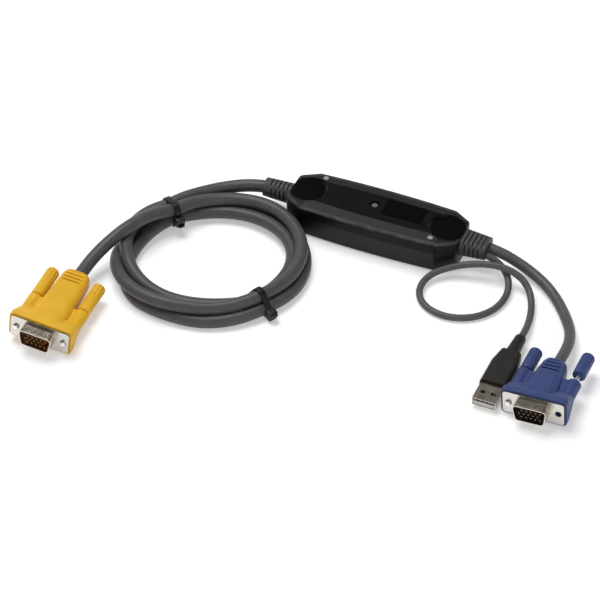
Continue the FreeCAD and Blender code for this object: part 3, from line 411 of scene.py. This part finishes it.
# The console cable: from the module's strain relief into three tied turns, then over them
# to the console plug
mainCordSettings = {
    "diameter": 6.6,
    "length": 0.917,
    "fromModule": [(-61.5, 0.0, 11.5), (-68.8, -1.3, 11.0), (-75.9, -4.1, 10.2),
                   (-82.2, -8.2, 9.9), (-87.8, -13.4, 10.0), (-92.8, -19.1, 10.4),
                   (-97.2, -25.2, 10.8)],
    "toPlug": [(-103.6, -45.4, 14.2), (-106.6, -53.2, 15.6), (-109.8, -61.0, 15.8),
               (-113.0, -68.6, 14.6), (-116.0, -76.0, 12.5), (-118.3, -83.6, 10.5),
               (-119.2, -91.2, 9.3), (-119.27, -98.43, 8.985)],
}
coilSettings = {
    "centre": (-65.8, -58.0),
    "pointStep": 12.0,
    "upperTieAt": 144.0,  # where the winding starts and ends
    "lowerTieAt": 333.0,
    # each turn's distance from the loop's centre and height above the table, a step apart
    "firstTurn": [
        (43.4, 10.9), (45.8, 10.2), (46.3, 9.8), (45.3, 9.7), (43.5, 9.9), (41.7, 9.9),
        (40.2, 9.1), (38.4, 7.8), (36.3, 6.5), (34.3, 5.6), (32.6, 5.1), (31.5, 4.8),
        (31.1, 4.7), (31.4, 4.7), (32.4, 4.6), (33.9, 4.4), (35.4, 4.5), (36.1, 4.8),
        (37.3, 4.9), (38.8, 4.9), (40.4, 5.0), (41.5, 5.3), (41.8, 5.7), (41.5, 5.7),
        (41.1, 5.4), (40.6, 5.0), (40.1, 4.7), (39.5, 4.6), (38.9, 4.7), (38.4, 5.2),
        (38.4, 6.0)],
    "secondTurn": [
        (38.4, 6.0), (38.5, 5.7), (38.9, 5.0), (39.6, 4.3), (40.7, 3.7), (41.7, 3.3),
        (43.3, 3.3), (44.6, 3.3), (44.5, 3.3), (43.2, 3.5), (42.2, 3.5), (42.0, 3.4),
        (42.1, 3.3), (42.2, 3.5), (42.2, 3.8), (42.4, 4.2), (42.9, 4.5), (44.2, 4.2),
        (45.5, 3.7), (46.4, 3.4), (47.0, 3.3), (47.6, 3.3), (47.9, 3.3), (47.6, 3.3),
        (47.3, 3.3), (47.0, 3.3), (46.6, 3.3), (46.0, 3.7), (45.5, 4.2), (45.0, 4.5),
        (44.7, 4.5)],
    "thirdTurn": [
        (44.7, 4.5), (45.1, 3.7), (45.9, 3.3), (46.7, 3.3), (47.2, 4.5), (47.2, 6.6),
        (47.0, 8.6), (46.3, 9.6), (45.0, 9.9), (43.1, 10.0), (41.1, 9.9), (39.3, 9.4),
        (38.3, 8.7), (37.8, 8.3), (37.8, 8.7), (38.3, 9.4), (39.2, 9.9), (40.5, 9.7),
        (42.1, 9.4), (43.6, 9.4), (45.0, 9.6), (46.1, 9.9), (46.8, 9.9), (47.4, 9.9),
        (47.6, 10.0), (46.8, 9.9), (45.3, 9.8), (43.4, 9.9), (41.5, 10.7), (39.4, 11.6),
        (37.1, 12.4)],
}
coilTurns = [np.array(coilSettings[name]) for name in ("firstTurn", "secondTurn", "thirdTurn")]
winding = np.concatenate([coilTurns[0], coilTurns[1][1:], coilTurns[2][1:]])
windingAt = coilSettings["upperTieAt"] + coilSettings["pointStep"] * np.arange(len(winding))


# A strand's distance from the loop's centre and height at any angle of the winding
def strandPlace(degrees):
    return np.stack([np.interp(degrees, windingAt, column) for column in winding.T], axis=1)


# The winding: each place turned round the loop's centre; control points stand a little outside
# a round line
def coilPoints():
    out = winding[:, 0] / math.cos(math.radians(coilSettings["pointStep"] / 2))
    turned = np.radians(windingAt)
    return np.stack([coilSettings["centre"][0] + out * np.cos(turned),
                     coilSettings["centre"][1] + out * np.sin(turned), winding[:, 1]], axis=1)


mainCordRoute = np.concatenate([mainCordSettings["fromModule"], coilPoints(),
                                mainCordSettings["toPlug"]])
mainCord = makeCord("main_cord", mainCordRoute, mainCordSettings["diameter"], "cable",
                    ["main_cord_module_run", "main_cord_coil", "main_cord_plug_run"])

videoLeadSettings = {
    "diameter": 5.5,
    "length": 0.101,
    "route": [(59.9, 2.2, 10.3), (66.0, 2.1, 9.5), (72.6, 1.6, 7.8), (79.4, 0.4, 6.0),
              (86.2, -2.0, 4.6), (93.2, -5.8, 3.7), (99.8, -11.2, 3.1), (106.3, -18.6, 3.0),
              (111.8, -26.4, 3.4), (116.2, -34.6, 4.6), (118.6, -43.4, 6.2), (119.5, -53.3, 7.7),
              (119.2, -62.9, 8.385)],
}
videoLead = makeCord("video_lead_cord", videoLeadSettings["route"], videoLeadSettings["diameter"],
                     "thin_lead", ["video_lead"])

usbLeadSettings = {
    "diameter": 3.5,
    "length": 0.193,
    # down to the table, round one loop, and back over itself beside the strain relief
    "route": [(59.9, -3.6, 10.3), (64.19, -3.44, 9.09), (68.59, -4.6, 7.37), (72.41, -7.11, 5.57),
              (75.51, -11.27, 3.84), (77.18, -17.3, 2.5), (76.99, -24.58, 1.84),
              (74.72, -31.91, 1.8), (70.16, -38.32, 1.83), (63.54, -42.98, 1.85),
              (55.67, -45.15, 1.8), (47.61, -44.29, 1.8), (40.74, -40.56, 1.88),
              (36.51, -34.52, 2.21), (35.54, -27.38, 2.85), (37.92, -20.6, 3.82),
              (43.46, -15.42, 5.35), (50.96, -11.88, 7.42), (59.3, -9.64, 9.19),
              (67.68, -8.23, 9.86), (75.41, -8.0, 8.95), (81.72, -9.33, 6.84),
              (86.44, -12.57, 4.48), (89.93, -17.99, 2.69), (92.53, -25.25, 2.12),
              (94.32, -33.32, 2.67), (95.2, -41.0, 3.6), (95.2, -47.6, 4.0)],
}
usbLead = makeCord("usb_lead_cord", usbLeadSettings["route"], usbLeadSettings["diameter"],
                   "thin_lead", ["usb_lead"])
print("cords: 3")


# A mesh of grids of points, in millimetres: each closes on itself along its columns, and along
# its rows it closes too or is capped by its end rows
def gridPiece(name, grids, finish, smooth=True):
    points = []
    faces = []
    for grid, closedRows in grids:
        rows, columns = grid.shape[:2]
        first = sum(len(block) for block in points)
        points.append(grid.reshape(-1, 3))
        index = first + np.arange(rows * columns).reshape(rows, columns)
        lower = index if closedRows else index[:-1]
        upper = np.roll(index, -1, axis=0) if closedRows else index[1:]
        corners = [lower, np.roll(lower, -1, axis=1), np.roll(upper, -1, axis=1), upper]
        faces += np.stack(corners, axis=-1).reshape(-1, 4).tolist()
        if not closedRows:
            faces.append(index[0][::-1].tolist())
            faces.append(index[-1].tolist())
    mesh = bpy.data.meshes.new(name)
    mesh.from_pydata((np.concatenate(points) * mm).tolist(), [], faces)
    mesh.polygons.foreach_set("use_smooth", np.full(len(mesh.polygons), smooth))
    mesh.materials.append(finishes[finish])
    mesh.update()
    piece = newObject(name, mesh)
    return piece


def around(steps):
    return np.linspace(0, fullTurn, steps, endpoint=False)


# A sine or cosine raised to a power with its sign kept: the lower the power, the squarer the shape
def squared(value, power):
    return np.sign(value) * np.abs(value) ** power


tieSettings = {
    "thickness": 1.0,
    "width": 3.2,
    "gap": 0.1,
    "round": 0.3,
    "strapSteps": 96,
    "sectionSteps": 20,
    "upperHeadAt": 191.5,  # degrees round the strap, from outwards to upwards
    "lowerHeadAt": -10.0,
    "headSize": (4.0, 5.0, 5.0),  # out from the strap, round it, along the cable
    "headSquare": 0.24,  # the lower, the squarer
    "headSunk": 0.6,
    "seatSpread": 0.6,  # strands this near to the outermost carry the head together
    "tailLength": 1.6,
    "tailAside": 1.3,
    "tailSunk": 0.4,
    "blockSteps": (18, 36),
    "blockReach": 0.497,  # of half a turn, just short of the poles
}


# Superellipsoid block: cosines and sines raised to a small power along three axes give a box
# with rounded edges
def roundedBlock(middle, axes, size, square):
    rows, columns = tieSettings["blockSteps"]
    steepest = tieSettings["blockReach"] * np.pi
    tilt = np.linspace(-steepest, steepest, rows)[:, None]
    turn = around(columns)[None, :]
    local = np.stack([squared(np.cos(tilt), square) * squared(np.cos(turn), square),
                      squared(np.cos(tilt), square) * squared(np.sin(turn), square),
                      squared(np.sin(tilt), square) * np.ones_like(turn)], axis=-1)
    return middle + (local * np.asarray(size) / 2) @ np.asarray(axes)


# Strap: a rounded bar section carried round the hull of the strands it holds
def makeTie(name, at, headAngle, replaced):
    settings = tieSettings
    thickness, width, headDepth = settings["thickness"], settings["width"], settings["headSize"][0]
    strands = strandPlace(np.arange(at, windingAt[-1] + 0.1, 360.0))  # one for each turn
    turned = math.radians(at)
    outward = np.array([math.cos(turned), math.sin(turned), 0.0])
    upward = np.array([0.0, 0.0, 1.0])
    along = np.cross(outward, upward)
    middle = np.array([*coilSettings["centre"], 0.0])
    offset = mainCordSettings["diameter"] / 2 + settings["gap"] + thickness / 2
    facing = around(settings["strapSteps"])
    normal = np.stack([np.cos(facing), np.sin(facing)], axis=1)
    path = strands[np.argmax(strands @ normal.T, axis=0)] + normal * offset
    section = around(settings["sectionSteps"])
    sway = squared(np.cos(section), settings["round"]) * width / 2
    rise = squared(np.sin(section), settings["round"]) * thickness / 2
    flat = path[:, None, :] + normal[:, None, :] * rise[None, :, None]
    strap = middle + flat[..., :1] * outward + flat[..., 1:] * upward + sway[None, :, None] * along
    headTurn = math.radians(headAngle)
    headNormal = np.array([math.cos(headTurn), math.sin(headTurn)])
    reach = strands @ headNormal
    seat = strands[reach > reach.max() - settings["seatSpread"]].mean(axis=0)
    headAt = seat + headNormal * (offset + headDepth / 2 - settings["headSunk"])
    headOut = outward * headNormal[0] + upward * headNormal[1]
    headRound = -outward * headNormal[1] + upward * headNormal[0]
    headAxes = (headOut, headRound, along)
    headMiddle = middle + outward * headAt[0] + upward * headAt[1]
    head = roundedBlock(headMiddle, headAxes, settings["headSize"], settings["headSquare"])
    tailOut = headDepth / 2 + settings["tailLength"] / 2 - settings["tailSunk"]
    tailMiddle = headMiddle + headOut * tailOut + headRound * settings["tailAside"]
    tail = roundedBlock(tailMiddle, headAxes, (settings["tailLength"], thickness, width),
                        settings["headSquare"])
    tie = gridPiece(name, [(strap, True), (head, False), (tail, False)], "tie")
    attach(tie, wholeCable)
    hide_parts(replaced)
    return tie


upperTie = makeTie("upper_tie", coilSettings["upperTieAt"], tieSettings["upperHeadAt"],
                   "cable_tie_upper")
lowerTie = makeTie("lower_tie", coilSettings["lowerTieAt"], tieSettings["lowerHeadAt"],
                   "cable_tie_lower")
print("cable ties: 2")

inlaySettings = {
    "centre": (13.8, 1.6),
    "size": (21.2, 12.3),
    "corner": 0.5,
    "foot": 18.15,  # the floor of the recess in the module's top
    "thick": 0.3,
    "softEdge": 0.08,
    "edgeMiddle": 0.3,  # share of the soft edge at its middle line
    "outlineSteps": 48,
}


# Plate: a rectangle's outline with round corners, carried up from the recess and drawn in
# at the top edge
def makeInlay():
    settings = inlaySettings
    softEdge, thick, knee = settings["softEdge"], settings["thick"], settings["edgeMiddle"]
    turn = around(settings["outlineSteps"])
    quarter = np.floor(turn / (np.pi / 2)) * np.pi / 2 + np.pi / 4
    side = np.sign(np.stack([np.cos(quarter), np.sin(quarter)], axis=1))
    outward = np.stack([np.cos(turn), np.sin(turn)], axis=1)
    drawnIn = np.array([0.0, 0.0, knee, 1.0]) * softEdge
    rise = np.array([0.0, thick - softEdge, thick - knee * softEdge, thick])
    corner = side * (np.array(settings["size"]) / 2 - settings["corner"])
    rounding = outward * (settings["corner"] - drawnIn[:, None, None])
    flat = np.array(settings["centre"]) + corner + rounding
    height = np.broadcast_to((settings["foot"] + rise)[:, None, None], (len(rise), len(turn), 1))
    plate = np.concatenate([flat, height], axis=2)
    inlay = gridPiece("label_inlay", [(plate, False)], "inlay", smooth=False)
    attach(inlay, wholeCable)


makeInlay()
print("blank label inlay: 1")

stageSettings = {
    "floorHalf": 4.0,
    "floorColour": (0.86, 0.86, 0.86, 1.0),
    "floorRough": 0.9,
    "floorGlow": 0.36,
    "skyLow": 1.0,  # near the horizon
    "skyHigh": 0.14,  # from about a third of the way up
    "skyFrom": 0.09,
    "skyTo": 0.5,
    "keyPlace": (-0.42, 0.16, 1.25),
    "keySize": 0.9,
    "keyPower": 12.5,
    "fillPlace": (0.9, -0.9, 0.8),
    "fillSize": 1.2,
    "fillPower": 3.0,
}
white = (1.0, 1.0, 1.0, 1.0)


# Floor: a wide pale sheet that keeps the shadows and shows as white to the camera
# and in reflections
def makeFloor():
    half = stageSettings["floorHalf"]
    mesh = bpy.data.meshes.new("floor")
    mesh.from_pydata([(-half, -half, 0), (half, -half, 0), (half, half, 0), (-half, half, 0)],
                     [], [(0, 1, 2, 3)])
    finish = Finish("pale_floor")
    seen = (finish.node("ShaderNodeLightPath", output="Is Camera Ray")
            + finish.node("ShaderNodeLightPath", output="Is Glossy Ray")
            + finish.node("ShaderNodeLightPath", output="Is Transmission Ray"))
    glow = finish.node("ShaderNodeEmission", None,
                       {"Color": white, "Strength": seen * stageSettings["floorGlow"]})
    finish.surface({"Base Color": stageSettings["floorColour"],
                    "Roughness": stageSettings["floorRough"], "Specular IOR Level": 0.0})
    both = finish.node("ShaderNodeAddShader", None,
                       {0: Level(finish, finish.shader.outputs[0]), 1: glow})
    finish.feed(finish.tree.nodes["Material Output"].inputs["Surface"], both)
    mesh.materials.append(finish.material)
    floor = newObject("floor", mesh)


# Sky: white near the horizon, dimmer above, so that flat tops stay dark and rounded edges
# catch light
def makeSky():
    world = bpy.data.worlds.new("soft_studio")
    bpy.context.scene.world = world
    world.use_nodes = True
    sky = NodeTree(world.node_tree)
    height = sky.part(sky.node("ShaderNodeTexCoord", output="Generated"), "Z")
    strength = sky.node("ShaderNodeMapRange", None,
                        {"Value": height, "From Min": stageSettings["skyFrom"],
                         "From Max": stageSettings["skyTo"], "To Min": stageSettings["skyLow"],
                         "To Max": stageSettings["skyHigh"]})
    backdrop = world.node_tree.nodes["Background"]
    sky.feed(backdrop.inputs["Color"], white)
    sky.feed(backdrop.inputs["Strength"], strength)


# Turn a lamp or the camera to look along a line
def aim(thing, line):
    thing.rotation_euler = line.to_track_quat("-Z", "Y").to_euler()


def makeSoftbox(name, place, size, power):
    lamp = bpy.data.lights.new(name, "AREA")
    lamp.shape = "DISK"
    lamp.size = size
    lamp.energy = power
    box = newObject(name, lamp)
    box.location = place
    aim(box, -Vector(place))


makeFloor()
makeSky()
for light in ("key", "fill"):
    makeSoftbox(light + "_light", stageSettings[light + "Place"], stageSettings[light + "Size"],
                stageSettings[light + "Power"])
print("stage: floor, sky, 2 softboxes")

cameraSettings = {
    "azimuth": 23.6,
    "elevation": 42.0,
    "distance": 1.5,
    "target": (-0.0160607, -0.0607763, 0.0),
    "sensor": 36.0,
    "pixelsPerMetre": 2020.0,  # at the target
    "imageSize": 600,
}


def makeCamera():
    turn = math.radians(cameraSettings["azimuth"])
    tilt = math.radians(cameraSettings["elevation"])
    back = Vector((math.sin(turn) * math.cos(tilt), -math.cos(turn) * math.cos(tilt),
                   math.sin(tilt)))
    data = bpy.data.cameras.new("camera")
    data.sensor_width = cameraSettings["sensor"]
    focal = cameraSettings["pixelsPerMetre"] * cameraSettings["distance"]
    data.lens = focal / cameraSettings["imageSize"] * cameraSettings["sensor"]
    camera = newObject("camera", data)
    camera.location = Vector(cameraSettings["target"]) + back * cameraSettings["distance"]
    aim(camera, -back)
    bpy.context.scene.camera = camera


makeCamera()
bpy.context.scene.view_settings.view_transform = "Standard"
print("camera set")
